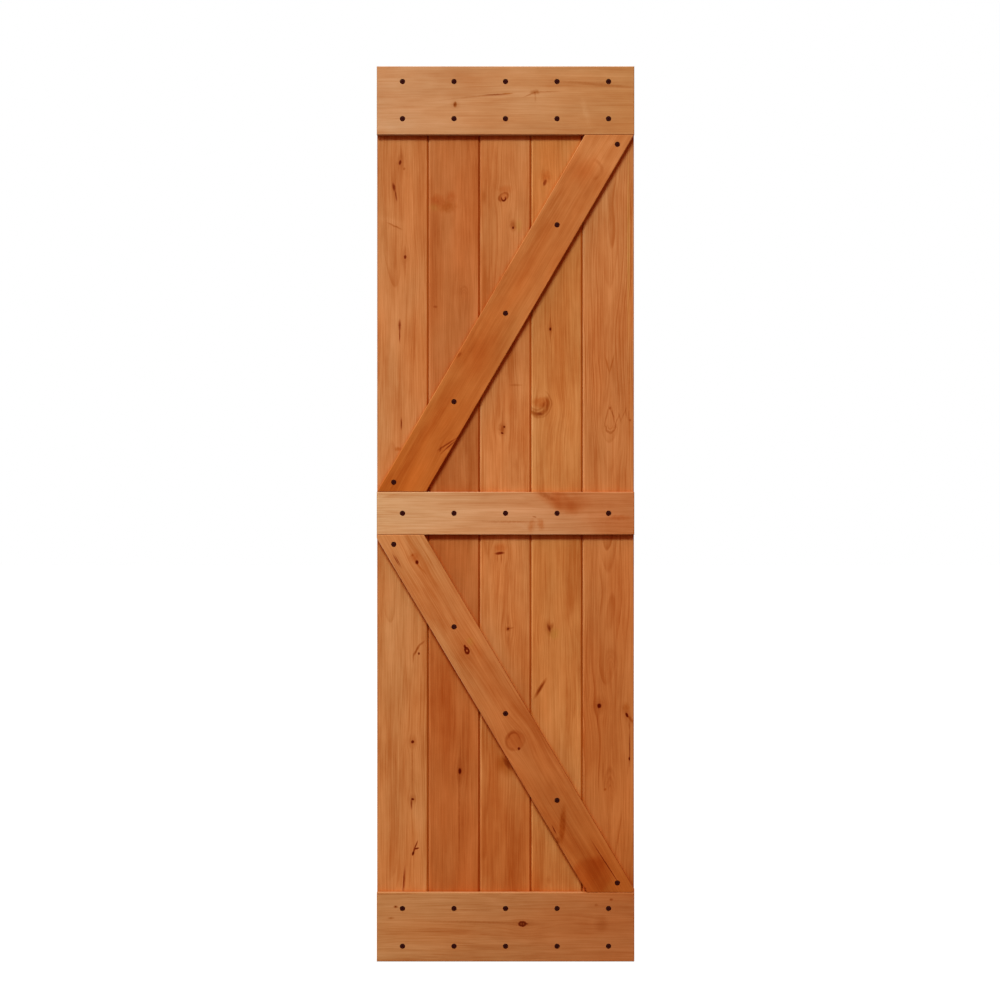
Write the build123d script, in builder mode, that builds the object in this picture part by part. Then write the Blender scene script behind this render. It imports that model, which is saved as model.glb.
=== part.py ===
"""A plank door leaf of the kind that hangs from an overhead rail and slides.

Upright tongue-and-groove planks stand side by side, with a vee along every joint. On their front, three
level rails and two sloping braces hold them together, and a black screw with a broad pan head, seated in a
counterbored hole, fastens each of these boards to every plank that it crosses.

The leaf stands upright: +X is to the right for someone who faces its front, +Y goes from the front to the
back, and +Z is up. The origin is the middle of its foot.
"""

from build123d import *

import os
from math import asin, atan2, degrees, hypot, radians, tan

os.makedirs("parts", exist_ok=True)

# Driving dimensions, in millimetres and degrees
door_height = 2134.0

# Planks, side by side
plank_count = 5
plank_cover = 122.8
plank_thickness = 19.0
vee_width = 4.2
vee_depth = 3.0
shoulder_gap = 0.4
back_edge = 0.8

# Tongue on the right side of a plank, groove in the left side of the next
tongue_length = 7.0
tongue_thickness = 6.0
tongue_tip = 0.8
groove_side_clearance = 0.2
groove_end_clearance = 0.9

# Rails, level across the planks
rail_thickness = 16.0
top_rail_height = 163.0
middle_rail_height = 102.0
bottom_rail_height = 164.5
middle_rail_centre = 1068.5
arris_radius = 1.8

# Braces, sloping between two rails. The point of a brace would reach this far past the door's side if it
# weren't cut off plumb there
brace_width = 101.0
brace_end_gap = 0.3
upper_brace_reach = -0.5
lower_brace_reach = 5.0

# Screws, measured under the head, with a cross recess for the driver
screw_length = 26.0
screw_tip = 5.0
screw_shank_diameter = 4.2
screw_head_diameter = 11.8
screw_head_height = 2.8
screw_head_rim = 1.0
screw_head_flat = 8.0
drive_width = 5.8
drive_slot = 1.3
drive_depth = 1.7
drive_taper = 6.0
drive_turn = 37.0

# Holes for the screws, with the room all round the head in the counterbore and round the shank below it
counterbore_depth = 3.6
head_clearance = 0.5
shank_clearance = 0.4
pilot_clearance = 0.05
pilot_end_clearance = 0.4

# Places of the screws: the two rows of an outer rail from its outer and inner edge, and the end screws of a
# brace from the door's side and from the rail that the brace meets
outer_row_inset = 36.5
inner_row_inset = 38.0
end_screw_side_inset = 40.5
end_screw_rail_inset = 23.0

# Sizes that follow from the ones above
door_width = plank_count * plank_cover
leaf_thickness = plank_thickness + rail_thickness
rail_face_y = -leaf_thickness / 2
plank_face_y = rail_face_y + rail_thickness
plank_middle_y = plank_face_y + plank_thickness / 2
screw_seat_y = rail_face_y + counterbore_depth
counterbore_radius = screw_head_diameter / 2 + head_clearance
clearance_hole_radius = screw_shank_diameter / 2 + shank_clearance
top_rail_foot = door_height - top_rail_height
middle_rail_foot = middle_rail_centre - middle_rail_height / 2
middle_rail_head = middle_rail_centre + middle_rail_height / 2
groove_depth = tongue_length - shoulder_gap + groove_end_clearance
pilot_depth = screw_length - (rail_thickness - counterbore_depth) + pilot_end_clearance
plank_centres = [(index - (plank_count - 1) / 2) * plank_cover for index in range(plank_count)]

# The two braces: the heights that each spans, its reach, and 1 where it rises to the right or -1 to the left
upper_brace = {"foot": middle_rail_head, "head": top_rail_foot, "reach": upper_brace_reach, "lean": 1}
lower_brace = {"foot": bottom_rail_height, "head": middle_rail_foot, "reach": lower_brace_reach, "lean": -1}


def brace_angle(foot, head, reach, lean):
    """The slope of a brace, above level. It runs from corner to corner between two heights, and is turned a
    little so that its edge, and not its middle line, meets the corner or its reach beyond that."""
    run = door_width + 2 * reach
    rise = head - foot
    return lean * degrees(atan2(rise, run) + asin(brace_width / hypot(rise, run)))


def rail_screws(*heights):
    """Screw places on a rail: one on the middle of every plank, at each of the given heights."""
    return [(x, height) for height in heights for x in plank_centres]


def brace_screws(foot, head, reach, lean):
    """Screw places on a brace: one on its middle line at each inner plank and one near each of its points."""
    slope = tan(radians(brace_angle(foot, head, reach, lean)))
    end_x = lean * (door_width / 2 - end_screw_side_inset)
    return [
        (-end_x, foot + end_screw_rail_inset),
        *((x, (foot + head) / 2 + slope * x) for x in plank_centres[1:-1]),
        (end_x, head - end_screw_rail_inset),
    ]


screw_places = {
    "top_rail": rail_screws(door_height - outer_row_inset, top_rail_foot + inner_row_inset),
    "middle_rail": rail_screws(middle_rail_centre),
    "bottom_rail": rail_screws(outer_row_inset, bottom_rail_height - inner_row_inset),
    "upper_brace": brace_screws(**upper_brace),
    "lower_brace": brace_screws(**lower_brace),
}


def front_plane(y):
    """An upright plane that faces the front. Its X runs along the door's width and its Y up the door."""
    return Plane(origin=(0, y, 0), x_dir=(1, 0, 0), z_dir=(0, -1, 0))


def plank_section(centre, joint_on_left, joint_on_right):
    """The outline of a plank from above. A side with a joint has a vee, and a groove or a tongue. A side of
    the door is square, with its front edge rounded."""
    left = centre - plank_cover / 2 + joint_on_left * shoulder_gap / 2
    right = centre + plank_cover / 2 - joint_on_right * shoulder_gap / 2
    with BuildSketch() as section:
        with Locations(((left + right) / 2, plank_middle_y)):
            Rectangle(right - left, plank_thickness)
        for side, joint in ((0, joint_on_left), (-1, joint_on_right)):
            front = section.edges().sort_by(Axis.Y)[0]
            corner = front.vertices().sort_by(Axis.X)[side]
            if joint:
                chamfer(corner, vee_width, vee_depth, reference=front)
            else:
                fillet(corner, arris_radius)
        chamfer(section.vertices().group_by(Axis.Y)[-1], back_edge)
        if joint_on_right:
            with Locations((right, plank_middle_y)):
                Rectangle(tongue_length, tongue_thickness, align=(Align.MIN, Align.CENTER))
            chamfer(section.vertices().group_by(Axis.X)[-1], tongue_tip)
        if joint_on_left:
            with Locations((left, plank_middle_y)):
                Rectangle(
                    groove_depth,
                    tongue_thickness + 2 * groove_side_clearance,
                    align=(Align.MIN, Align.CENTER),
                    mode=Mode.SUBTRACT,
                )
    return section.sketch


def make_plank(index):
    """A full-height plank with a pilot hole for every screw that enters it."""
    centre = plank_centres[index]
    reach = plank_cover / 2 + tongue_length
    all_screws = [place for places in screw_places.values() for place in places]
    pilots = [(x, z) for x, z in all_screws if abs(x - centre) < reach]
    with BuildPart() as plank:
        with BuildSketch():
            add(plank_section(centre, joint_on_left=index > 0, joint_on_right=index < plank_count - 1))
        extrude(amount=door_height)
        with Locations(front_plane(plank_face_y)):
            with Locations(*pilots):
                Hole(screw_shank_diameter / 2 + pilot_clearance, pilot_depth)
    return plank.part


def rail_outline(foot, height):
    """A level board across the whole door."""
    with BuildSketch() as outline:
        with Locations((0, foot + height / 2)):
            Rectangle(door_width, height)
    return outline.sketch


def brace_outline(foot, head, reach, lean):
    """A straight board from side to side, cut level at both rails and plumb where it would pass the side."""
    rise = head - foot
    length = 2 * hypot(rise, door_width)
    with BuildSketch() as outline:
        with Locations((0, (foot + head) / 2)):
            Rectangle(length, brace_width, rotation=brace_angle(foot, head, reach, lean))
            Rectangle(door_width, rise - 2 * brace_end_gap, mode=Mode.INTERSECT)
    return outline.sketch


def make_board(outline, places):
    """A board on the planks' front, with its front edges rounded and a counterbored hole at each place."""
    with BuildPart() as board:
        with BuildSketch(front_plane(plank_face_y)):
            add(outline)
        extrude(amount=rail_thickness)
        fillet(board.faces().sort_by(Axis.Y)[0].edges(), arris_radius)
        with Locations(front_plane(rail_face_y)):
            with Locations(*places):
                CounterBoreHole(clearance_hole_radius, counterbore_radius, counterbore_depth, rail_thickness)
    return board.part


def make_screw():
    """A wood screw that points down, with a broad pan head whose underside is in the XY plane."""
    head_radius = screw_head_diameter / 2
    shank_radius = screw_shank_diameter / 2
    with BuildPart() as screw:
        with BuildSketch(Plane.XZ):
            with BuildLine():
                Polyline(
                    (0, -screw_length),
                    (shank_radius, screw_tip - screw_length),
                    (shank_radius, 0),
                    (head_radius, 0),
                    (head_radius, screw_head_rim),
                    (screw_head_flat / 2, screw_head_height),
                    (0, screw_head_height),
                    close=True,
                )
            make_face()
        revolve(axis=Axis.Z)
        with BuildSketch(Plane.XY.offset(screw_head_height)):
            Rectangle(drive_width, drive_slot)
            Rectangle(drive_slot, drive_width)
        extrude(amount=-drive_depth, taper=drive_taper, mode=Mode.SUBTRACT)
    return screw.part


def make_screws(screw, places):
    """The screws of one board, seated in their counterbores, each stopped at another turn of the driver."""
    with BuildPart() as screws:
        with Locations(front_plane(screw_seat_y)):
            for number, (x, z) in enumerate(places):
                with Locations(Location((x, z, 0), (0, 0, number * drive_turn))):
                    add(screw)
    return screws.part


outlines = {
    "top_rail": rail_outline(top_rail_foot, top_rail_height),
    "middle_rail": rail_outline(middle_rail_foot, middle_rail_height),
    "bottom_rail": rail_outline(0, bottom_rail_height),
    "upper_brace": brace_outline(**upper_brace),
    "lower_brace": brace_outline(**lower_brace),
}
screw = make_screw()

pieces = {f"plank_{index + 1}": make_plank(index) for index in range(plank_count)}
for board, outline in outlines.items():
    pieces[board] = make_board(outline, screw_places[board])
    pieces[f"{board}_screws"] = make_screws(screw, screw_places[board])

for name, piece in pieces.items():
    piece.label = name
    export_step(piece, f"parts/{name}.step")
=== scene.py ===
"""The looks of a plank door leaf: the wood of every board, its black screws, and a plain white studio."""

import math
from collections import namedtuple

import bmesh
import bpy
from mathutils import Matrix, Vector


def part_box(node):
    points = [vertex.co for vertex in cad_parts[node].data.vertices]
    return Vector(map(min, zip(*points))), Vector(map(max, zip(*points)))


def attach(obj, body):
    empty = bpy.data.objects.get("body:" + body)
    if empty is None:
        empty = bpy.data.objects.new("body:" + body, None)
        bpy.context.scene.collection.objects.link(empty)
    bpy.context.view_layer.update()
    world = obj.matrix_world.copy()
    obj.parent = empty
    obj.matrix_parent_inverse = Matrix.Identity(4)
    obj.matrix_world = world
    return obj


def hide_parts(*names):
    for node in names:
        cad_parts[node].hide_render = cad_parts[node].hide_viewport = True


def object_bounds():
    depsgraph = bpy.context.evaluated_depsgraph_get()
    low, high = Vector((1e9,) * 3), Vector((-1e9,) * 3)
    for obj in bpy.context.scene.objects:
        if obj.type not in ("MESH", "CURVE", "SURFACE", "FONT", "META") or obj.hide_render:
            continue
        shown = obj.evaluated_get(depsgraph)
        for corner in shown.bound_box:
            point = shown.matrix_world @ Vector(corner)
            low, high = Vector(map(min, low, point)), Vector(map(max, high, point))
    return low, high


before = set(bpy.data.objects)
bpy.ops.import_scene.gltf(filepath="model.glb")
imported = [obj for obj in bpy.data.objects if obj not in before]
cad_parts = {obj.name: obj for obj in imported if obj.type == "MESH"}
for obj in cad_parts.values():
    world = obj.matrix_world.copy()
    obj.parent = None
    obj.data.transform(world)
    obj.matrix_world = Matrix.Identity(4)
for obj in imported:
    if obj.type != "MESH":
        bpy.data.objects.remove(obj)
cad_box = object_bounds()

MM = 0.001

# Camera: level, in front of the leaf, a little left of its middle, with a frame of this width at the leaf's
# front
CAMERA_DISTANCE = 5.0
CAMERA_X = -0.0132
CAMERA_Z = 1.1002
FRAME_WIDTH = 2.3832

# Studio: a long level lamp high in front, weaker ones at the left and behind, and a dim warm sky. The sky
# lights what the main lamp leaves in shadow, and the main lamp is a little cool, so that both together are
# white. The floor lies just below the leaf's foot, and its glow fades to plain white between two distances
LAMPS = {
    "main": {"place": (-1.8, -9.0, 8.8), "size": (4.6, 2.4), "power": 1530.0, "colour": (0.70, 0.96, 1.0)},
    "side": {"place": (-9.0, -2.2, 4.6), "size": (4.0, 4.0), "power": 300.0, "colour": (1.0, 1.0, 1.0)},
    "back": {"place": (3.0, 8.5, 7.5), "size": (3.0, 3.0), "power": 1300.0, "colour": (1.0, 1.0, 1.0)},
}
LAMP_TARGET = (0.0, 0.0, 1.05)
SKY_COLOUR = (1.0, 0.24, 0.04)
SKY_LIGHT = 0.66
FLOOR_SIZE = 60.0
FLOOR_DROP = 0.2
FLOOR_GREY = 0.14
FLOOR_GLOW = 0.91
FLOOR_FADE = (1.5, 6.0)

HALVES = (0.5, 0.5, 0.5)


def srgb(red, green, blue):
    """The linear colour of three values from 0 to 255."""
    return tuple((value / 255) ** 2.2 for value in (red, green, blue))


class Graph:
    """Short calls that add a node to a tree and give back its output."""

    def __init__(self, tree):
        self.tree = tree

    def node(self, kind, *values, **settings):
        made = self.tree.nodes.new(kind)
        for name, setting in settings.items():
            setattr(made, name, setting)
        for socket, value in zip(made.inputs, values):
            self.give(socket, value)
        return made

    def give(self, socket, value):
        if isinstance(value, bpy.types.NodeSocket):
            self.tree.links.new(value, socket)
        elif value is not None:
            socket.default_value = value

    def math(self, operation, *values, clamp=False):
        return self.node("ShaderNodeMath", *values, operation=operation, use_clamp=clamp).outputs[0]

    def vector(self, operation, *values):
        return self.node("ShaderNodeVectorMath", *values, operation=operation).outputs["Vector"]

    def stretch(self, position, *sizes):
        """The position measured in three sizes, one for each axis."""
        return self.vector("DIVIDE", position, sizes)

    def length(self, vector):
        return self.node("ShaderNodeVectorMath", vector, operation="LENGTH").outputs["Value"]

    def parts(self, vector):
        return self.node("ShaderNodeSeparateXYZ", vector).outputs

    def joined(self, x, y, z):
        return self.node("ShaderNodeCombineXYZ", x, y, z).outputs[0]

    def noise(self, position, detail=1.0, roughness=0.5):
        made = self.node("ShaderNodeTexNoise", position)
        made.inputs["Scale"].default_value = 1.0
        made.inputs["Detail"].default_value = detail
        made.inputs["Roughness"].default_value = roughness
        return made

    def sway(self, position, sizes, reach, detail=1.0):
        """A soft random shift of up to about a third of the reach, for every cell of the given sizes."""
        noise = self.noise(self.stretch(position, *sizes), detail).outputs["Color"]
        return self.vector("MULTIPLY", self.vector("SUBTRACT", noise, HALVES), reach)

    def remap(self, value, low, high, new_low=0.0, new_high=1.0, smooth=False):
        kind = "SMOOTHSTEP" if smooth else "LINEAR"
        values = (value, low, high, new_low, new_high)
        return self.node("ShaderNodeMapRange", *values, interpolation_type=kind).outputs[0]

    def mix(self, factor, first, second, blend="MIX"):
        made = self.node("ShaderNodeMix", factor, data_type="RGBA", blend_type=blend, clamp_factor=False)
        self.give(made.inputs[6], first)
        self.give(made.inputs[7], second)
        return made.outputs[2]

    def tinted(self, factor, colour, tint):
        """The colour multiplied by a tint, as far as the factor says."""
        return self.mix(factor, colour, (*tint, 1.0), "MULTIPLY")


# Soft layers of tone in clear wood: the size across and along the grain in millimetres, the noise's detail
# and the strength
STREAKS = ((1.8, 110, 1, 1.7), (3.2, 150, 2, 1.3), (8, 260, 1, 0.7), (22, 520, 1, 1.7))
BLOTCHES = ((14, 26, 2, 0.5), (50, 150, 2, 2.2), (110, 420, 1, 1.8))

# Tints of clear wood: its palest and deepest layers, and its cooler and warmer parts
PALE_WOOD = (1.19, 1.32, 1.54)
DEEP_WOOD = (0.78, 0.58, 0.41)
COOL_WOOD = (0.97, 1.06, 1.14)
WARM_WOOD = (1.03, 0.93, 0.84)

# Tints: painted highlight and painted shade on edges that face the light and away from it, darker end grain,
# painted shade in the corners between boards, as far as this reach in millimetres, and a darker band on the
# leaf's sides, which starts and ends this far in
EDGE_PAINTED_HIGHLIGHT = (1.20, 1.42, 1.75)
EDGE_PAINTED_SHADE = (0.76, 0.50, 0.24)
END_GRAIN = (0.55, 0.42, 0.34)
CORNER_PAINTED_SHADE = (0.94, 0.60, 0.30)
CORNER_SHADE_REACH = 13.0
SIDE_TINT = (0.66, 0.60, 0.55)
SIDE_STRENGTH = 0.8
SIDE_START = 2.2
SIDE_END = 0.6

# Sheen of the wood, with the depth of its grain in millimetres, and of the black screws
WOOD_ROUGHNESS = (0.66, 0.52)
WOOD_SPECULAR = 0.08
WOOD_SPECULAR_TINT = (1.0, 0.35, 0.12)
GRAIN_DEPTH = 0.3
GRAIN_STRENGTH = 0.35
BLACK_DEEP = (0.030, 0.004, 0.003)
BLACK_PALE = (0.044, 0.008, 0.006)
BLACK_ROUGHNESS = (0.45, 0.65)
BLACK_SPECULAR = 0.04
BLACK_SPECULAR_TINT = (1.0, 0.5, 0.45)

# What is drawn on a board. Places and sizes are in millimetres in the leaf's front view: x from its middle,
# z from its foot, the width and height of the whole mark, and its turn in degrees, clockwise. The tint
# multiplies the wood's colour. The edge is how soft the outline is, the rim how thick a line is drawn where
# only the outline shows, and the wobble how uneven it is. A flow has no colour. Its pull parts the grain
Mark = namedtuple("Mark", "x z width height turn tint strength edge rim wobble half")
Flow = namedtuple("Flow", "x z width height pull")

DARK = (0.22, 0.03, 0.006)
BROWN = (0.62, 0.39, 0.23)
RUST = (0.70, 0.43, 0.19)
RED = (0.84, 0.58, 0.40)
OLIVE = (0.92, 1.08, 0.84)
PALE = (1.10, 1.20, 1.34)

# Marks whose smaller side is above this size have a coarser outline
COARSE_MARK = 25


def mark(x, z, width, height, tint, strength, turn=0.0, edge=0.5, rim=0.0, wobble=0.25, half=False):
    return [Mark(x, z, width, height, turn, tint, strength, edge, rim, wobble, half)]


def patch(x, z, width, height, tint, strength, turn=0.0):
    """A cloud of colour with an uneven outline."""
    return mark(x, z, width, height, tint, strength, turn, edge=0.8, wobble=0.6)


def streak(x, z, length, width, strength, turn=0.0, tint=BROWN):
    """A thin line along the grain of an upright board, or turned with its board."""
    return mark(x, z, width, length, tint, strength, turn, edge=0.8, wobble=0.6)


def arc(x, z, width, height, strength, turn=0.0, tint=BROWN, rim=0.14):
    """The left half of an oval's outline. A quarter turn makes it the upper half."""
    return mark(x, z, width, height, tint, strength, turn, edge=0.8, rim=rim, wobble=0.3, half=True)


def crack(x, z, length, width, strength=0.65, turn=0.0):
    """A dark split along the grain."""
    return mark(x, z, width * 1.3, length, DARK, strength, turn, edge=0.9, wobble=0.6)


def pin_knot(x, z, width, height, strength=0.9, turn=0.0):
    """A small dark knot, with the grain parting round it and a brown halo drawn out along the grain."""
    return [
        Flow(x, z, width * 4.0, height * 6.0, 0.75),
        *mark(x, z, width * 2.4, height * 3.4, BROWN, 0.5 * strength, turn, edge=0.95),
        *mark(x, z, width, height, DARK, strength, turn, edge=0.4),
    ]


def arches(x, z, width, height, strength):
    """Nested arches of grain over a buried knot, with a faint red heart."""
    drawn = [Flow(x, z, width * 1.6, height * 2.0, 0.5)]
    drawn += patch(x, z, width * 0.6, height * 0.6, RED, strength * 0.8)
    for size in (1.0, 0.64, 0.32):
        drawn += arc(x, z, height * size, width * size, strength, 90)
    return drawn


# One board: its colour at its foot or left end and at its head or right end, the pith of its tree as seen
# from the board's middle, across and through it, the slope of the pith along the board, the width of a
# growth ring, how strong its rings, streaks and blotches are, and how far its grain leans from upright
Board = namedtuple("Board", "foot head pith slope ring rings streaks blotches lean seed marks")

BOARDS = {
    "plank_1": Board(
        foot=(188, 122, 70), head=(177, 109, 63), pith=(-34, 60), slope=0.008, ring=3.6,
        rings=0.34, streaks=0.8, blotches=0.8, lean=0, seed=3,
        marks=[
            *pin_knot(-252, 1907, 6, 11, 0.7, turn=12),
            *streak(-250, 1928, 28, 3, 0.5),
            *mark(-242, 1892, 5, 6, BROWN, 0.7),
            *crack(-267, 1848, 15, 4.0, turn=-12),
            *crack(-262, 1828, 20, 2.2, turn=-8),
            *patch(-275, 1768, 40, 14, PALE, 0.6, 15),
            *mark(-265, 1755, 31, 3.6, BROWN, 0.8, 25, edge=0.7, wobble=1.0),
            *pin_knot(-240, 1681, 6, 9, 0.7),
            *streak(-240, 1697, 22, 3, 0.5),
            *streak(-240, 1655, 44, 3, 0.5),
            *crack(-253, 1518, 20, 3.6),
            *crack(-253, 1494, 26, 2.0),
            *crack(-249, 1282, 20, 2.2, 0.7),
            *patch(-257, 1222, 11, 8, RUST, 0.8),
            *streak(-213, 741, 27, 4.5, 1.3, 29),
            *streak(-201, 757, 16, 3.5, 1.0, 51),
            *streak(-220, 722, 18, 3, 0.5, 5),
            *mark(-207, 733, 4, 6, DARK, 0.9),
            *pin_knot(-222, 522, 7, 7),
            *streak(-223, 462, 110, 3.5, 0.5),
            *pin_knot(-222, 385, 6, 5),
            *crack(-225, 373, 20, 2.4),
            *mark(-221, 255, 5, 9, DARK, 0.95, 15),
            *crack(-218, 264, 18, 3.0, turn=18),
            *mark(-212, 267, 10, 4, DARK, 0.8, -15),
            *streak(-213, 277, 14, 2.5, 0.8, 20, DARK),
            *crack(-243, 190, 46, 3.0, turn=4),
            *mark(-276, 1375, 100, 340, PALE, 0.9, edge=0.9),
        ],
    ),
    "plank_2": Board(
        foot=(171, 94, 46), head=(168, 98, 54), pith=(-30, 90), slope=0.006, ring=4.6,
        rings=0.18, streaks=0.8, blotches=0.8, lean=0, seed=11,
        marks=[
            *patch(-164, 1817, 30, 22, RED, 0.8),
            *patch(-140, 1802, 34, 24, RUST, 0.7),
            *patch(-131, 1826, 20, 20, RED, 0.8),
            *patch(-171, 1800, 20, 16, OLIVE, 0.7),
            *arches(-99, 1590, 20, 40, 0.25),
            *patch(-168, 1562, 8, 5, BROWN, 0.8),
            *pin_knot(-109, 452, 7, 13),
            *streak(-108, 495, 70, 2.5, 0.45),
            *streak(-111, 330, 240, 3.5, 0.65),
            *mark(-96, 1190, 90, 190, PALE, 0.8, edge=0.9),
        ],
    ),
    "plank_3": Board(
        foot=(182, 112, 60), head=(178, 108, 61), pith=(-52, 60), slope=0.008, ring=4.0,
        rings=0.34, streaks=0.8, blotches=0.8, lean=0, seed=19,
        marks=[
            Flow(-5, 1825, 46, 64, 0.6),
            *patch(-1, 1843, 28, 16, RED, 0.7),
            *mark(-5, 1825, 22, 15, RED, 0.7, -35, edge=0.4),
            *mark(-5, 1825, 24, 16, BROWN, 0.8, -35, edge=0.8, rim=0.22),
            *arc(-5, 1825, 19, 11, 0.8, -95, DARK, rim=0.22),
            *mark(-3, 1826, 12, 3, PALE, 0.9, -35),
            *patch(18, 1757, 12, 22, BROWN, 0.8),
            *mark(18, 1751, 4, 6, DARK, 0.85),
            *patch(31, 1757, 14, 24, OLIVE, 0.8),
            *mark(25, 1375, 24, 4, BROWN, 0.5, edge=0.8),
            Flow(-8, 1268, 34, 66, 0.6),
            *patch(-8, 1270, 15, 23, BROWN, 0.85),
            *mark(-3, 1275, 4, 5, DARK, 0.85),
            *mark(-8, 1260, 6, 4, DARK, 0.85, 20),
            *streak(-7, 1297, 32, 4, 0.5),
            Flow(-14, 973, 44, 50, 0.5),
            *patch(-14, 986, 26, 18, RED, 0.8),
            *mark(-14, 973, 19, 6, DARK, 0.8, -6, edge=0.6),
            *streak(-19, 961, 16, 2, 0.7),
            *streak(-10, 960, 18, 2, 0.7),
            Flow(6, 792, 34, 60, 0.6),
            *mark(6, 792, 9, 11, BROWN, 0.95, edge=0.6),
            *mark(6, 792, 4, 5, DARK, 0.7),
            *streak(6, 811, 26, 3, 0.6),
            *streak(6, 767, 38, 3, 0.6),
            *mark(14, 794, 12, 3, BROWN, 0.6, -10),
            *patch(0, 468, 34, 44, RUST, 0.8, -31),
            *mark(3, 470, 9, 30, DARK, 0.4, -31, edge=0.6),
            *mark(0, 190, 190, 400, RED, 0.6, edge=0.95),
            *mark(5, 1130, 150, 640, PALE, 1.3, edge=0.95),
        ],
    ),
    "plank_4": Board(
        foot=(189, 121, 66), head=(173, 106, 56), pith=(64, 75), slope=0.010, ring=3.8,
        rings=0.26, streaks=0.8, blotches=0.8, lean=0, seed=27,
        marks=[
            Flow(94, 1859, 30, 60, 0.7),
            *patch(96, 1873, 20, 24, RED, 0.8),
            *mark(94, 1859, 7, 14, DARK, 0.5, 20),
            *pin_knot(107, 1509, 5, 7),
            *streak(107, 1526, 26, 2, 0.6),
            *streak(107, 1492, 26, 2, 0.6),
            Flow(84, 1320, 90, 84, 0.5),
            *mark(83, 1334, 36, 24, RED, 0.9, edge=0.4, wobble=0.5),
            *patch(92, 1326, 18, 14, BROWN, 0.5, -30),
            *arc(78, 1330, 48, 48, 1.2, -128, rim=0.17),
            *arc(79, 1331, 66, 62, 0.5, -150, rim=0.06),
            *arc(76, 1332, 34, 34, 0.5, -120, rim=0.12),
            *mark(82, 1306, 14, 6, DARK, 0.3, 8, edge=0.8),
            *mark(122, 1290, 160, 430, PALE, 1.0, edge=0.9),
            Flow(104, 794, 40, 60, 0.6),
            *patch(116, 781, 22, 22, OLIVE, 0.8),
            *mark(104, 794, 16, 30, BROWN, 0.5, -20, edge=0.9),
            *mark(104, 794, 6, 18, DARK, 0.4, -20, edge=0.6),
            *mark(110, 798, 7, 16, BROWN, 0.7, 25, edge=0.7),
            *mark(83, 650, 8, 46, BROWN, 1.2, 31, edge=0.5),
            *mark(84, 651, 3.5, 26, DARK, 0.35, 31),
            *mark(104, 192, 10, 16, BROWN, 0.35, edge=0.9),
            *mark(80, 190, 150, 360, RED, 0.35, edge=0.95),
        ],
    ),
    "plank_5": Board(
        foot=(175, 98, 46), head=(185, 120, 72), pith=(6, 46), slope=0.022, ring=3.8,
        rings=0.64, streaks=0.8, blotches=0.6, lean=0, seed=35,
        marks=[
            *streak(294, 1700, 380, 6, 0.8, tint=OLIVE),
            *streak(289, 1690, 340, 2.2, 0.5),
            *streak(300, 1710, 400, 3.5, 0.7, tint=RUST),
            *streak(296, 1330, 260, 3, 0.5, tint=RUST),
            *streak(243, 1425, 36, 3, 0.7, -14, RUST),
            *streak(254, 1425, 36, 3, 0.7, 14, RUST),
            *mark(250, 1320, 5, 7, BROWN, 0.9),
            Flow(252, 1295, 50, 120, 0.4),
            *arc(251, 1283, 44, 25, 0.7, -90, rim=0.12),
            *arc(250, 1282, 24, 13, 0.4, -90),
            *streak(242, 1303, 44, 2.6, 0.7, 13),
            *streak(257, 1303, 46, 2.6, 0.7, -12),
            *streak(255, 1308, 20, 2.2, 0.5, -28),
            *streak(267, 1292, 28, 2.4, 0.5, 24),
            *streak(273, 1298, 22, 2.4, 0.45, -18),
            *streak(282, 1304, 32, 2.4, 0.5, 24),
            *streak(288, 1310, 26, 2.2, 0.4, -12),
            *mark(298, 1291, 5, 6, BROWN, 0.9),
            *streak(294, 1303, 20, 2, 0.5),
            *arches(252, 700, 30, 80, 0.16),
            *pin_knot(224, 608, 10, 10, 1.0, turn=20),
            *streak(221, 580, 46, 2, 0.5, 3),
            *patch(288, 604, 14, 20, RUST, 0.6),
            *pin_knot(290, 586, 6, 11, turn=-25),
            *streak(299, 576, 24, 5, 0.8, -40, RUST),
            *streak(296, 560, 18, 2.5, 0.6, -5),
            *crack(297, 506, 62, 1.4, 0.8),
            *mark(296, 482, 4, 8, DARK, 0.9),
            *streak(293, 462, 34, 2, 0.5, 5),
            *arches(250, 400, 28, 110, 0.28),
            *mark(238, 408, 5, 6, RUST, 1.0),
            *streak(233, 448, 40, 4, 0.5),
        ],
    ),
    "top_rail": Board(
        foot=(186, 134, 93), head=(175, 118, 71), pith=(30, 80), slope=0.014, ring=7.0,
        rings=0.14, streaks=0.5, blotches=0.6, lean=90, seed=43,
        marks=[
            *mark(-120, 2043, 16, 16, BROWN, 0.3, edge=0.95),
            *mark(-120, 2043, 7, 11, BROWN, 1.8, edge=0.7),
            *mark(-25, 2066, 46, 2.6, DARK, 0.45, -2, edge=0.8),
            *mark(5, 2068.5, 24, 2.2, RUST, 0.95, -2),
            *streak(-70, 2062, 180, 3.5, 0.3, 84),
            *patch(70, 2072, 17, 10, BROWN, 0.85),
            *streak(59, 2067, 28, 3, 0.6, 68),
            *streak(96, 2073, 60, 3, 0.45, 88),
            *streak(71, 2058, 16, 4, 0.3),
            *streak(225, 2090, 170, 6, 0.4, 95),
            *patch(191, 2025, 12, 56, PALE, 0.8, -16),
        ],
    ),
    "middle_rail": Board(
        foot=(199, 151, 106), head=(175, 108, 64), pith=(-26, 60), slope=0.016, ring=6.0,
        rings=0.22, streaks=0.7, blotches=0.5, lean=90, seed=51,
        marks=[
            *mark(118, 1105, 104, 44, RED, 0.75, 30, edge=0.35, wobble=0.3),
            *mark(154, 1098, 84, 58, RED, 0.5, 8, edge=0.35, wobble=0.3),
            *mark(200, 1096, 120, 60, RED, 0.25, edge=0.95),
            *patch(96, 1111, 40, 10, BROWN, 0.6, 28),
            *patch(150, 1090, 50, 26, RUST, 0.25, 20),
            *mark(69, 1060, 9, 3, BROWN, 0.9, 15),
            *patch(62, 1038, 14, 26, RED, 0.8, 12),
            *patch(84, 1042, 14, 24, RED, 0.8, -12),
            *patch(38, 1040, 34, 12, PALE, 0.6, 15),
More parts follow.
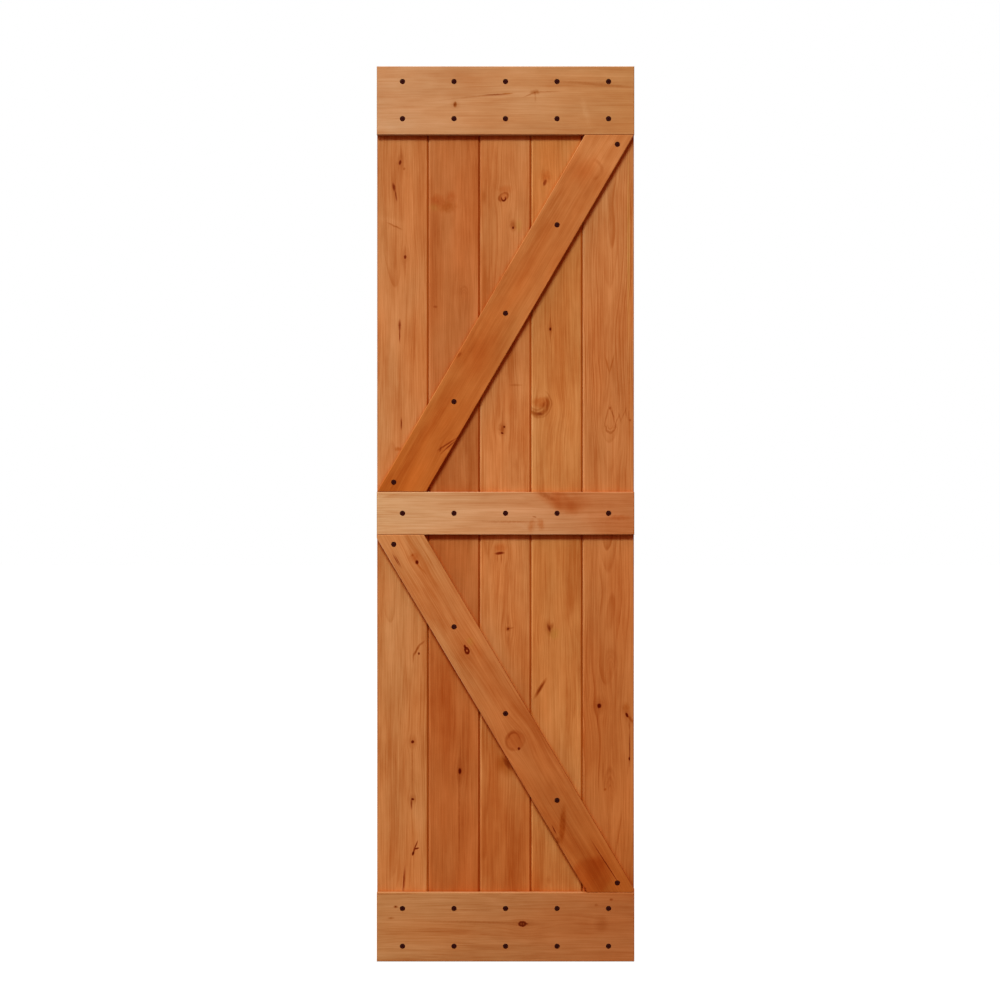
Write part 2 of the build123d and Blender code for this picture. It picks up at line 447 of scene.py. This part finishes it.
            *patch(250, 1040, 120, 50, RED, 0.5),
            *patch(272, 1058, 44, 10, RED, 0.7),
            *streak(236, 1046, 70, 2.5, 0.4, 91),
            *streak(10, 1048, 120, 5, 0.5, 90),
        ],
    ),
    "bottom_rail": Board(
        foot=(179, 122, 74), head=(167, 100, 56), pith=(20, 66), slope=0.012, ring=6.0,
        rings=0.14, streaks=0.8, blotches=0.6, lean=90, seed=59,
        marks=[
            Flow(40, 90, 40, 76, 0.6),
            *mark(40, 90, 46, 20, BROWN, 0.3, edge=0.95),
            *mark(40, 90, 18, 13, DARK, 0.35, edge=0.3),
            *mark(40, 90, 14, 9.5, DARK, 0.55, edge=0.6, rim=0.4),
            *mark(40, 90, 3, 8, DARK, 0.5),
            *mark(51, 90, 7, 2.5, DARK, 0.7),
            *streak(-60, 94, 220, 4, 0.45, 91),
            *mark(-262, 131, 9, 5.5, BROWN, 1.0, edge=0.7),
            *mark(-262, 131, 4, 3, DARK, 0.6),
            *mark(-273, 104, 12, 4, BROWN, 0.7, edge=0.8),
            *streak(-80, 123, 90, 3, 0.35, 90),
            *mark(252, 148, 7.5, 5, BROWN, 1.0),
            *mark(216, 135, 7, 6, BROWN, 0.45),
            *patch(228, 90, 28, 32, BROWN, 0.4),
        ],
    ),
    "upper_brace": Board(
        foot=(171, 92, 38), head=(178, 111, 63), pith=(24, 76), slope=0.010, ring=8.0,
        rings=0.10, streaks=0.6, blotches=1.0, lean=30.2, seed=67,
        marks=[
            *patch(186, 1888, 60, 60, RED, 0.6),
            *mark(226, 1926, 110, 90, PALE, 1.0, 15, edge=0.5, wobble=0.4),
            *arc(206, 1888, 50, 44, 0.3, 180),
            *patch(-80, 1452, 120, 80, RED, 0.7, -30),
            *mark(-111, 1445, 16, 6, BROWN, 0.7, -50),
            Flow(-136, 1230, 50, 70, 0.5),
            *patch(-138, 1216, 18, 10, PALE, 0.7, 45),
            *streak(-138, 1234, 42, 3.4, 0.5, 57, DARK),
            *streak(-137, 1226, 38, 2.8, 0.45, 48, DARK),
            *streak(-132, 1231, 22, 2.0, 0.4, 52, DARK),
            *mark(-155, 1221, 4, 12, DARK, 0.35, 20),
        ],
    ),
    "lower_brace": Board(
        foot=(163, 87, 37), head=(193, 127, 76), pith=(-20, 70), slope=0.012, ring=6.5,
        rings=0.12, streaks=0.7, blotches=0.9, lean=-30.7, seed=75,
        marks=[
            *crack(-261, 957, 26, 1.6, 0.6, -29),
            *crack(-256, 954, 22, 1.4, 0.5, -29),
            *mark(-222, 969, 5, 6, RUST, 1.0),
            Flow(-211, 952, 34, 60, 0.7),
            *patch(-216, 963, 20, 18, RED, 0.9),
            *streak(-202, 938, 30, 3, 0.6, -42, RUST),
            *mark(-211, 952, 7, 9.5, DARK, 1.0, -10),
            Flow(-92, 742, 36, 70, 0.6),
            *patch(-85, 763, 15, 15, OLIVE, 1.0),
            *mark(-92, 741, 26, 40, BROWN, 0.35, -20, edge=0.95),
            *mark(-92, 741, 8, 12, DARK, 0.85, -20, edge=0.4, rim=0.55),
            *mark(-97, 751, 5, 8, DARK, 0.8, -20),
            Flow(22, 528, 84, 100, 0.6),
            *mark(22, 528, 42, 42, RED, 0.65, edge=0.3),
            *mark(22, 528, 43, 42, BROWN, 0.2, edge=0.8, rim=0.10),
            *arc(22, 527, 43, 42, 0.5, rim=0.14),
            *arc(20, 530, 30, 28, 0.55, 90),
            *mark(32, 507.6, 5.5, 6.5, DARK, 0.95),
            *mark(136, 326, 13, 76, RUST, 0.9, 4, edge=0.5),
            *mark(124, 288, 12, 16, BROWN, 0.6),
            *streak(112, 300, 64, 7, 0.9, -31, RUST),
            *crack(116, 314, 18, 1.6, 0.8, -25),
            *mark(206, 206, 92, 82, RED, 1.05, -32, edge=0.25, wobble=0.3),
            *crack(242, 230, 94, 1.4, 0.85, -33),
            *mark(186, 174, 9, 5, DARK, 0.8, edge=0.7),
        ],
    ),
}


def empty_graph(owner):
    """The cleared node graph of a new material or world."""
    owner.use_nodes = True
    owner.node_tree.nodes.clear()
    return Graph(owner.node_tree)


def make_wood(name, board):
    """The material of one board. Its grain follows the board, and its marks lie in the leaf's front view."""
    material = bpy.data.materials.new(f"wood_{name}")
    graph = empty_graph(material)

    low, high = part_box(name)
    middle = (low + high) / 2
    lean = math.radians(board.lean)
    coordinate = graph.node("ShaderNodeTexCoord")
    front_view = graph.vector("DIVIDE", coordinate.outputs["Object"], (MM, MM, MM))
    mapping = graph.node("ShaderNodeMapping", coordinate.outputs["Object"], vector_type="TEXTURE")
    mapping.inputs["Location"].default_value = middle
    mapping.inputs["Rotation"].default_value = (0.0, lean, 0.0)
    mapping.inputs["Scale"].default_value = (MM, MM, MM)

    turn_back = Matrix.Rotation(-lean, 3, "Y")
    position = mapping.outputs[0]
    for flow in (item for item in board.marks if isinstance(item, Flow)):
        centre = turn_back @ (Vector((flow.x, 0, flow.z)) - middle / MM)
        position = bend_grain(graph, position, centre, flow)

    half_length = max(abs(value) for value in turn_back @ (high - middle)) / MM
    colour, height = grow_wood(graph, board, position, half_length)
    fine = graph.sway(front_view, (5, 5, 9), (1, 1, 1), detail=2)
    coarse = graph.sway(front_view, (30, 30, 60), (1, 1, 1), detail=2)
    for item in (item for item in board.marks if isinstance(item, Mark)):
        rough = coarse if min(item.width, item.height) > COARSE_MARK else fine
        colour, height = draw_mark(graph, colour, height, front_view, rough, item)

    colour = paint_shading_and_end_grain(graph, colour, coordinate.outputs["Normal"], lean)
    from_middle = graph.math("ABSOLUTE", graph.parts(coordinate.outputs["Object"])["X"])
    side_x = cad_box[1].x
    side = graph.remap(from_middle, side_x - SIDE_START * MM, side_x - SIDE_END * MM, 0.0, SIDE_STRENGTH)
    colour = graph.tinted(side, colour, SIDE_TINT)
    bump = graph.node("ShaderNodeBump", GRAIN_STRENGTH, GRAIN_DEPTH * MM)
    graph.give(bump.inputs["Height"], height)
    shader = graph.node("ShaderNodeBsdfPrincipled")
    graph.give(shader.inputs["Base Color"], colour)
    graph.give(shader.inputs["Roughness"], graph.remap(height, 0.0, 1.0, *WOOD_ROUGHNESS))
    shader.inputs["Specular IOR Level"].default_value = WOOD_SPECULAR
    shader.inputs["Specular Tint"].default_value = (*WOOD_SPECULAR_TINT, 1.0)
    graph.give(shader.inputs["Normal"], bump.outputs[0])
    graph.node("ShaderNodeOutputMaterial", shader.outputs[0])
    return material


def bend_grain(graph, position, centre, flow):
    """The position with the grain parted round a knot."""
    away = graph.vector("SUBTRACT", position, tuple(centre))
    x, _, z = graph.parts(graph.stretch(away, flow.width / 2, 1.0, flow.height / 2))
    squared = graph.math("ADD", graph.math("MULTIPLY", x, x), graph.math("MULTIPLY", z, z))
    near = graph.math("EXPONENT", graph.math("MULTIPLY", squared, -1.0))
    across = graph.parts(away)["X"]
    shift = graph.math("MULTIPLY", graph.math("MULTIPLY", across, near), -flow.pull)
    return graph.vector("ADD", position, graph.joined(shift, 0.0, 0.0))


def grow_wood(graph, board, position, half_length):
    """The colour and the height of clear wood: growth rings round the tree's pith, streaks and blotches."""
    place = graph.vector("ADD", position, (board.seed * 131.0, board.seed * 17.0, board.seed * 911.0))
    bent = graph.vector("ADD", place, graph.sway(place, (90, 90, 300), (14, 14, 0)))

    # Growth rings lie round a pith that wanders. Each of them darkens slowly and then ends sharply, and some
    # years and some places are fainter
    swayed = graph.vector("ADD", position, graph.sway(place, (160, 160, 420), (34, 34, 0), detail=2))
    x, y, z = graph.parts(swayed)
    from_pith_x = graph.math("SUBTRACT", x, float(board.pith[0]))
    from_pith_y = graph.math("MULTIPLY_ADD", z, board.slope, graph.math("SUBTRACT", y, float(board.pith[1])))
    radius = graph.length(graph.joined(from_pith_x, from_pith_y, 0.0))
    age = graph.math("DIVIDE", radius, board.ring)
    uneven = graph.noise(graph.joined(graph.math("DIVIDE", age, 2.3), float(board.seed), 0.0))
    age = graph.math("MULTIPLY_ADD", uneven.outputs[0], 1.6, age)
    season = graph.math("FRACT", age)
    whole_years = graph.math("FLOOR", age)
    year = graph.node("ShaderNodeTexWhiteNoise", None, whole_years, noise_dimensions="1D").outputs[0]
    darkening = graph.math("POWER", season, 1.7)
    late = graph.math("MULTIPLY", darkening, graph.remap(season, 1.0, 0.82, smooth=True))
    late = graph.math("MULTIPLY", late, graph.remap(year, 0.0, 1.0, 0.3, 2.4))
    clear = graph.noise(graph.stretch(bent, 40, 40, 260)).outputs[0]
    late = graph.math("MULTIPLY", late, graph.remap(clear, 0.35, 0.6, 0.25, 1.0, smooth=True))

    # The tone picks between the palest and the deepest layers of the board's colour
    tone = graph.math("MULTIPLY", late, board.rings)
    for layers, share in ((STREAKS, board.streaks), (BLOTCHES, board.blotches)):
        for across, along, detail, strength in layers:
            layer = graph.noise(graph.stretch(bent, across, across, along), detail, 0.6).outputs[0]
            tone = graph.math("MULTIPLY_ADD", graph.math("SUBTRACT", layer, 0.5), strength * share, tone)
    fibres = graph.noise(graph.stretch(bent, 0.8, 0.8, 30), 2).outputs[0]
    redness = graph.noise(graph.stretch(bent, 70, 70, 260), 2).outputs[0]

    upwards = graph.remap(z, -half_length, half_length)
    base = graph.mix(upwards, (*srgb(*board.foot), 1.0), (*srgb(*board.head), 1.0))
    pale = graph.tinted(1.0, base, PALE_WOOD)
    deep = graph.tinted(1.0, base, DEEP_WOOD)
    wood = graph.mix(graph.remap(tone, -0.8, 0.0), pale, base)
    wood = graph.mix(graph.remap(tone, 0.0, 0.9), wood, deep)
    hue = graph.mix(graph.remap(redness, 0.3, 0.7), (*COOL_WOOD, 1.0), (*WARM_WOOD, 1.0))
    wood = graph.mix(board.blotches, wood, hue, "MULTIPLY")
    height = graph.math("MULTIPLY_ADD", fibres, 0.5, graph.math("MULTIPLY", late, 0.25))
    return wood, height


def draw_mark(graph, colour, height, front_view, rough, item):
    """One mark drawn over the wood: a soft or sharp oval, or only its rim, whole or half."""
    unevenness = item.wobble * min(item.width, item.height)
    wobbled = graph.vector("MULTIPLY_ADD", rough, (unevenness,) * 3, front_view)
    mapping = graph.node("ShaderNodeMapping", wobbled, vector_type="TEXTURE")
    mapping.inputs["Location"].default_value = (item.x, 0.0, item.z)
    mapping.inputs["Rotation"].default_value = (0.0, math.radians(item.turn), 0.0)
    mapping.inputs["Scale"].default_value = (item.width / 2, 1.0, item.height / 2)
    x, _, z = graph.parts(mapping.outputs[0])
    reach = graph.length(graph.joined(x, 0.0, z))
    if item.rim:
        reach = graph.math("DIVIDE", graph.math("ABSOLUTE", graph.math("SUBTRACT", reach, 1.0)), item.rim)
    mask = graph.remap(reach, 1.0 + item.edge, 1.0 - item.edge, 0.0, item.strength, smooth=True)
    if item.tint != DARK:
        cloudy = graph.remap(graph.parts(rough)["Y"], -0.12, 0.08, 0.7, 1.0)
        mask = graph.math("MULTIPLY", mask, cloudy)
    if item.half:
        mask = graph.math("MULTIPLY", mask, graph.remap(x, -0.5, 0.2, 1.0, 0.0, smooth=True))

    # Three steps with the cube root of the tint keep the mark's soft edge as red as its middle
    step_tint = [value ** (1 / 3) for value in item.tint]
    for _ in range(3):
        colour = graph.tinted(mask, colour, step_tint)
    if item.tint == DARK:
        height = graph.math("SUBTRACT", height, mask)
    return colour, height


def paint_shading_and_end_grain(graph, colour, normal, lean):
    """Painted highlight on edges that face up or left, and painted shade on those that face right. The end
    grain is darker too, and the corners between boards get painted shade."""
    x, y, z = graph.parts(graph.vector("ABSOLUTE", normal))
    across, _, up = graph.parts(normal)
    # Painted highlight on edges and groove sides facing up or left, painted shade on those facing right
    toward_light = graph.remap(graph.math("SUBTRACT", graph.math("MAXIMUM", up, 0.0), across), -0.35, 0.35)
    tint = graph.mix(toward_light, (*EDGE_PAINTED_SHADE, 1.0), (*EDGE_PAINTED_HIGHLIGHT, 1.0))
    rounded = graph.math("MULTIPLY", graph.remap(y, 0.97, 0.9), graph.remap(y, 0.1, 0.3))
    edge = graph.math("MAXIMUM", rounded, graph.remap(up, 0.3, 0.8))
    colour = graph.mix(edge, colour, tint, "MULTIPLY")

    level_part = graph.math("MULTIPLY", x, abs(math.sin(lean)))
    facing = graph.math("MULTIPLY_ADD", z, abs(math.cos(lean)), level_part)
    colour = graph.tinted(graph.remap(facing, 0.85, 0.98, 0.0, 0.45), colour, END_GRAIN)

    # Painted shade in the corners between boards, stronger below a board than above it, because the look
    # round is tipped upwards
    corner = graph.node("ShaderNodeAmbientOcclusion", samples=8)
    corner.inputs["Distance"].default_value = CORNER_SHADE_REACH * MM
    tipped = graph.vector("ADD", normal, (0.0, 0.0, 0.4))
    graph.give(corner.inputs["Normal"], graph.vector("NORMALIZE", tipped))
    painted_corner_shade = graph.remap(corner.outputs["AO"], 0.9, 0.45, 0.0, 1.0)
    return graph.tinted(painted_corner_shade, colour, CORNER_PAINTED_SHADE)


def make_black(name):
    """Black coated steel: satin, a little uneven."""
    material = bpy.data.materials.new(name)
    material.use_nodes = True
    graph = Graph(material.node_tree)
    shader = material.node_tree.nodes["Principled BSDF"]
    position = graph.vector("DIVIDE", graph.node("ShaderNodeTexCoord").outputs["Object"], (MM, MM, MM))
    spots = graph.noise(graph.stretch(position, 0.8, 0.8, 0.8), 2).outputs[0]
    graph.give(shader.inputs["Base Color"], graph.mix(spots, (*BLACK_DEEP, 1.0), (*BLACK_PALE, 1.0)))
    graph.give(shader.inputs["Roughness"], graph.remap(spots, 0.3, 0.7, *BLACK_ROUGHNESS))
    shader.inputs["Specular IOR Level"].default_value = BLACK_SPECULAR
    shader.inputs["Specular Tint"].default_value = (*BLACK_SPECULAR_TINT, 1.0)
    return material


# A screw, in millimetres, measured up from the underside of its head. The thread's shape is how far each row
# of a turn stands out. Each screw of a board is turned by the drive's turn, in degrees, past the one before
HEAD_RADIUS = 5.9
HEAD_RIM = 1.05
HEAD_HEIGHT = 2.8
DRIVE_ARM = 2.9
DRIVE_HALF_WIDTH = 0.72
DRIVE_DEPTH = 1.6
SHANK_RADIUS = 1.6
CORE_RADIUS = 1.5
THREAD_HEIGHT = 0.55
THREAD_PITCH = 1.9
THREAD_HEAD = -7.5
THREAD_RUN_OUT = 1.5
POINT = -26.0
POINT_LENGTH = 6.0
HEAD_SIDES = 96
SHANK_SIDES = 24
THREAD_SHAPE = (0.0, 0.0, 0.0, 1.0, 0.0)
DRIVE_TURN = 37.0
SHARP_ANGLE = 38.0

# The head's rings: round its side, as how far in from its radius and how high, then over the dome, as shares
# of the way to the recess's lip, and down the recess, as how much narrower and how deep
HEAD_SIDE = ((0.55, 0.0), (0.12, 0.12), (0.0, 0.45), (0.0, HEAD_RIM - 0.1))
DOME_STEPS = (0.015, 0.06, 0.14, 0.28, 0.48, 0.74, 1.0)
RECESS_SIDE = ((0.0, 0.12), (0.08, 0.5), (0.28, DRIVE_DEPTH - 0.15), (0.42, DRIVE_DEPTH))
RECESS_LIP = 0.14
RECESS_ARM_TAPER = 1.6
RECESS_POINT = 0.2


def drive_reach(angle, arm, half_width):
    """How far the cross recess reaches from the screw's middle at an angle. Its corners are rounded."""
    turned = (angle + math.pi / 4) % (math.pi / 2) - math.pi / 4
    end = arm / math.cos(turned)
    side = half_width / max(abs(math.sin(turned)), 1e-6)
    return (end**-9 + side**-9) ** (-1 / 9)


def dome_height(radius):
    return HEAD_RIM + (HEAD_HEIGHT - HEAD_RIM) * math.sqrt(max(1 - (radius / HEAD_RADIUS) ** 2, 0.0))


def head_rings():
    """The rings of a pan head from its underside, over the dome, and down into the cross recess, each as a
    radius and a height for every angle."""
    angles = [2 * math.pi * side / HEAD_SIDES for side in range(HEAD_SIDES)]
    for inset, height in HEAD_SIDE:
        yield [(HEAD_RADIUS - inset, height) for _ in angles]
    lip = [drive_reach(angle, DRIVE_ARM, DRIVE_HALF_WIDTH) + RECESS_LIP for angle in angles]
    for step in DOME_STEPS:
        radii = [HEAD_RADIUS + (inner - HEAD_RADIUS) * step for inner in lip]
        yield [(radius, dome_height(radius)) for radius in radii]
    for narrowing, depth in RECESS_SIDE:
        arm = DRIVE_ARM - RECESS_ARM_TAPER * narrowing
        half_width = DRIVE_HALF_WIDTH - narrowing
        yield [(drive_reach(angle, arm, half_width), HEAD_HEIGHT - depth) for angle in angles]


def thread_radius(height, ridge):
    """The radius of the threaded part at a height. It runs out into the point and into the plain shank."""
    to_point = min((height - POINT) / POINT_LENGTH, 1.0)
    to_shank = min((THREAD_HEAD - height) / THREAD_RUN_OUT, 1.0)
    core = CORE_RADIUS * to_point**0.9 + (SHANK_RADIUS - CORE_RADIUS) * (1.0 - to_shank)
    return core + THREAD_HEIGHT * ridge * to_point * to_shank


def add_ring(shape, sides, places):
    """A ring of points round the screw, from a radius and a height for each."""
    angles = (2 * math.pi * side / sides for side in range(sides))
    return [
        shape.verts.new((radius * math.cos(angle), radius * math.sin(angle), height))
        for angle, (radius, height) in zip(angles, places)
    ]


def bridge(shape, lower, upper):
    """A band of faces between two rings."""
    for side in range(len(lower)):
        after = (side + 1) % len(lower)
        shape.faces.new((lower[side], lower[after], upper[after], upper[side]))


def add_head(shape):
    """The head with its recess. Gives the ring round the head's underside."""
    rings = [add_ring(shape, HEAD_SIDES, places) for places in head_rings()]
    for lower, upper in zip(rings, rings[1:]):
        bridge(shape, lower, upper)
    bottom = shape.verts.new((0.0, 0.0, HEAD_HEIGHT - DRIVE_DEPTH - RECESS_POINT))
    for side in range(HEAD_SIDES):
        shape.faces.new((rings[-1][side], rings[-1][(side + 1) % HEAD_SIDES], bottom))
    return rings[0]


def add_shank(shape, underside):
    """The plain shank, and fans of faces from it out to the ring of the underside, which has more points."""
    neck = add_ring(shape, SHANK_SIDES, [(SHANK_RADIUS, 0.0)] * SHANK_SIDES)
    bridge(shape, add_ring(shape, SHANK_SIDES, [(SHANK_RADIUS, THREAD_HEAD)] * SHANK_SIDES), neck)
    step = HEAD_SIDES // SHANK_SIDES
    half = step // 2
    for side in range(SHANK_SIDES):
        near = neck[side]
        far = neck[(side + 1) % SHANK_SIDES]
        rim = [underside[(side * step + place) % HEAD_SIDES] for place in range(step + 1)]
        for first, second in zip(rim[:half], rim[1:]):
            shape.faces.new((near, first, second))
        shape.faces.new((near, rim[half], far))
        for first, second in zip(rim[half:], rim[half + 1 :]):
            shape.faces.new((far, first, second))


def add_thread(shape):
    """The threaded part: a band of rows that climbs one pitch with every turn. Rows that would pass the
    point or the plain shank are held there."""
    rows_per_turn = len(THREAD_SHAPE)
    turns = math.ceil((THREAD_HEAD - POINT) / THREAD_PITCH + 1)
    columns = []
    for side in range(SHANK_SIDES):
        angle = 2 * math.pi * side / SHANK_SIDES
        column = []
        for row in range((turns + 1) * rows_per_turn + 1):
            climb = row / rows_per_turn + side / SHANK_SIDES - 1
            height = min(max(POINT + THREAD_PITCH * climb, POINT), THREAD_HEAD)
            radius = thread_radius(height, THREAD_SHAPE[row % rows_per_turn])
            column.append(shape.verts.new((radius * math.cos(angle), radius * math.sin(angle), height)))
        columns.append(column)
    for side in range(SHANK_SIDES):
        near = columns[side]
        far = columns[side + 1] if side + 1 < SHANK_SIDES else columns[0][rows_per_turn:]
        for row in range(min(len(near), len(far)) - 1):
            shape.faces.new((near[row], far[row], far[row + 1], near[row + 1]))


def screw_mesh():
    """One closed screw that stands on its point along Z, in millimetres."""
    shape = bmesh.new()
    underside = add_head(shape)
    add_shank(shape, underside)
    add_thread(shape)
    bmesh.ops.remove_doubles(shape, verts=shape.verts, dist=0.001)
    loose = [vertex for vertex in shape.verts if not vertex.link_faces]
    bmesh.ops.delete(shape, geom=loose, context="VERTS")
    bmesh.ops.recalc_face_normals(shape, faces=shape.faces)
    mesh = bpy.data.meshes.new("screw")
    shape.to_mesh(mesh)
    shape.free()
    return mesh


def solid_boxes(node):
    """The lowest and highest corners of every separate solid in a CAD node, in metres."""
    shape = bmesh.new()
    shape.from_mesh(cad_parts[node].data)
    bmesh.ops.remove_doubles(shape, verts=shape.verts, dist=0.001 * MM)
    remaining = set(shape.verts)
    boxes = []
    while remaining:
        waiting = [remaining.pop()]
        found = []
        while waiting:
            vertex = waiting.pop()
            found.append(vertex.co.copy())
            linked = {edge.other_vert(vertex) for edge in vertex.link_edges} & remaining
            remaining -= linked
            waiting.extend(linked)
        low = Vector(min(place[axis] for place in found) for axis in range(3))
        high = Vector(max(place[axis] for place in found) for axis in range(3))
        boxes.append((low, high))
    shape.free()
    return sorted(boxes, key=lambda box: (round(box[0].z, 4), box[0].x))


def make_screws(node, screw, material):
    """A screw with its thread and recess in the place of each plain one of a CAD node."""
    shape = bmesh.new()
    for number, (low, high) in enumerate(solid_boxes(node)):
        middle = (low + high) / 2
        seat = Vector((middle.x, low.y + HEAD_HEIGHT * MM, middle.z))
        turn = Matrix.Rotation(math.radians(DRIVE_TURN * number), 4, "Z")
        face_front = Matrix.Rotation(math.radians(90), 4, "X")
        place = Matrix.Translation(seat) @ face_front @ Matrix.Scale(MM, 4) @ turn
        before = len(shape.verts)
        shape.from_mesh(screw)
        shape.verts.ensure_lookup_table()
        bmesh.ops.transform(shape, matrix=place, verts=shape.verts[before:])
    mesh = bpy.data.meshes.new(f"{node}_threaded")
    shape.to_mesh(mesh)
    shape.free()
    mesh.materials.append(material)
    mesh.shade_smooth()
    mesh.set_sharp_from_angle(angle=math.radians(SHARP_ANGLE))
    piece = bpy.data.objects.new(f"{node}_threaded", mesh)
    bpy.context.scene.collection.objects.link(piece)
    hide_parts(node)
    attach(piece, "root")


def dress(node, material):
    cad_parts[node].data.materials.clear()
    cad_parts[node].data.materials.append(material)


def seen_ray(graph):
    """1 for a ray that shows a thing itself or its reflection, and 0 for one that only carries light."""
    rays = graph.node("ShaderNodeLightPath").outputs
    mirrored = graph.math("MAXIMUM", rays["Is Glossy Ray"], rays["Is Transmission Ray"])
    return graph.math("MAXIMUM", rays["Is Camera Ray"], mirrored)


def make_sky():
    """A dim warm sky, which is white where it is seen."""
    world = bpy.data.worlds.new("sky")
    bpy.context.scene.world = world
    graph = empty_graph(world)
    light = graph.node("ShaderNodeBackground", (*SKY_COLOUR, 1.0), SKY_LIGHT)
    white = graph.node("ShaderNodeBackground", (1.0, 1.0, 1.0, 1.0), 1.0)
    mixed = graph.node("ShaderNodeMixShader", seen_ray(graph), light.outputs[0], white.outputs[0])
    graph.node("ShaderNodeOutputWorld", mixed.outputs[0])


def make_floor():
    """A pale floor at the leaf's foot, seen as white apart from the shadow on it."""
    mesh = bpy.data.meshes.new("floor")
    half = FLOOR_SIZE / 2
    corners = [(-half, -half, 0), (half, -half, 0), (half, half, 0), (-half, half, 0)]
    mesh.from_pydata(corners, [], [(0, 1, 2, 3)])
    floor = bpy.data.objects.new("floor", mesh)
    bpy.context.scene.collection.objects.link(floor)
    floor.location.z = -FLOOR_DROP * MM
    material = bpy.data.materials.new("floor")
    graph = empty_graph(material)
    away = graph.length(graph.node("ShaderNodeTexCoord").outputs["Object"])
    seen = seen_ray(graph)
    glow = graph.math("MULTIPLY", seen, graph.remap(away, *FLOOR_FADE, FLOOR_GLOW, 1.0, smooth=True))
    diffuse = graph.node("ShaderNodeBsdfDiffuse", (FLOOR_GREY, FLOOR_GREY, FLOOR_GREY, 1.0))
    shining = graph.node("ShaderNodeEmission", (1.0, 1.0, 1.0, 1.0), glow)
    both = graph.node("ShaderNodeAddShader", diffuse.outputs[0], shining.outputs[0])
    graph.node("ShaderNodeOutputMaterial", both.outputs[0])
    mesh.materials.append(material)


def make_lamp(name, place, size, power, colour):
    data = bpy.data.lights.new(name, "AREA")
    data.shape = "RECTANGLE"
    data.size, data.size_y = size
    data.energy = power
    data.color = colour
    lamp = bpy.data.objects.new(name, data)
    lamp.location = place
    lamp.rotation_euler = (Vector(LAMP_TARGET) - Vector(place)).to_track_quat("-Z", "Y").to_euler()
    bpy.context.scene.collection.objects.link(lamp)


def make_camera():
    data = bpy.data.cameras.new("camera")
    data.lens = data.sensor_width * CAMERA_DISTANCE / FRAME_WIDTH
    camera = bpy.data.objects.new("camera", data)
    front = cad_box[0].y
    camera.location = (CAMERA_X, front - CAMERA_DISTANCE, CAMERA_Z)
    camera.rotation_euler = (math.radians(90), 0.0, 0.0)
    bpy.context.scene.collection.objects.link(camera)
    bpy.context.scene.camera = camera


make_camera()
for name, lamp in LAMPS.items():
    make_lamp(name, **lamp)
make_sky()
make_floor()
bpy.context.scene.view_settings.view_transform = "Standard"

for name, board in BOARDS.items():
    dress(name, make_wood(name, board))
black = make_black("black_screw")
screw = screw_mesh()
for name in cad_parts:
    if name.endswith("_screws"):
        make_screws(name, screw, black)
